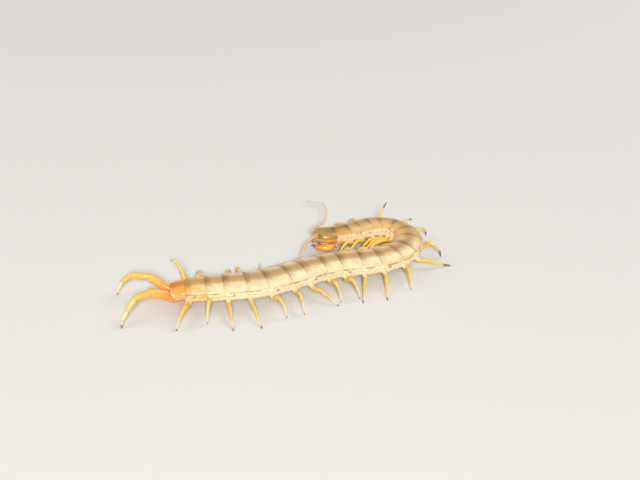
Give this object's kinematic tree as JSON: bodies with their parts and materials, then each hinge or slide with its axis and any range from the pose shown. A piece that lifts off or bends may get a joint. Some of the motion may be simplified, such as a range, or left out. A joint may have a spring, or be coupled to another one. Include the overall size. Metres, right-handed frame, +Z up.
{
  "type": "scolopendra centipede model",
  "caption": "Life-size still model of a scolopendra centipede resting on its feet, the front of its long plated body doubled back beside the hind part.",
  "frame": {"origin": "on the floor under the middle of the whole model's box", "axes": "+Z up; the tail lies towards -X and the bend of the body towards +X; the hind part's left side faces +Y"},
  "size_m": [0.1084, 0.0756, 0.0092],
  "materials": {
    "plate_shell": "smooth horny plates, tan with darker hind margins, satin gloss",
    "head_shell": "smooth amber to olive horn, glossy",
    "end_shell": "smooth orange horn, satin gloss",
    "leg_shell": "thin golden yellow horn, paler at the tips, satin gloss",
    "feeler_shell": "finely downy pinkish tan rings, soft sheen",
    "poison_claw_shell": "hard amber orange horn with dark tips, glossy"
  },
  "bodies": {
    "root": {"head": "head_shell", "forcipule_base": "poison_claw_shell", "forcipule_left": "poison_claw_shell", "forcipule_right": "poison_claw_shell", "antenna_left": "feeler_shell", "antenna_right": "feeler_shell", "trunk_01_02": "plate_shell", "trunk_03_04": "plate_shell", "trunk_05_06": "plate_shell", "trunk_07_08": "plate_shell", "trunk_09_10": "plate_shell", "trunk_11_12": "plate_shell", "trunk_13_14": "plate_shell", "trunk_15_16": "plate_shell", "trunk_17_18": "plate_shell", "trunk_19_20": "plate_shell", "trunk_21": "end_shell", "leg_left_01": "leg_shell", "leg_left_02": "leg_shell", "leg_left_03": "leg_shell", "leg_left_04": "leg_shell", "leg_left_05": "leg_shell", "leg_left_06": "leg_shell", "leg_left_07": "leg_shell", "leg_left_08": "leg_shell", "leg_left_09": "leg_shell", "leg_left_10": "leg_shell", "leg_left_11": "leg_shell", "leg_left_12": "leg_shell", "leg_left_13": "leg_shell", "leg_left_14": "leg_shell", "leg_left_15": "leg_shell", "leg_left_16": "leg_shell", "leg_left_17": "leg_shell", "leg_left_18": "leg_shell", "leg_left_19": "leg_shell", "leg_left_20": "leg_shell", "leg_right_01": "leg_shell", "leg_right_02": "leg_shell", "leg_right_03": "leg_shell", "leg_right_04": "leg_shell", "leg_right_05": "leg_shell", "leg_right_06": "leg_shell", "leg_right_07": "leg_shell", "leg_right_08": "leg_shell", "leg_right_09": "leg_shell", "leg_right_10": "leg_shell", "leg_right_11": "leg_shell", "leg_right_12": "leg_shell", "leg_right_13": "leg_shell", "leg_right_14": "leg_shell", "leg_right_15": "leg_shell", "leg_right_16": "leg_shell", "leg_right_17": "leg_shell", "leg_right_18": "leg_shell", "leg_right_19": "leg_shell", "leg_right_20": "leg_shell", "terminal_leg_left": "end_shell", "terminal_leg_right": "end_shell"}
  },
  "joints": []
}
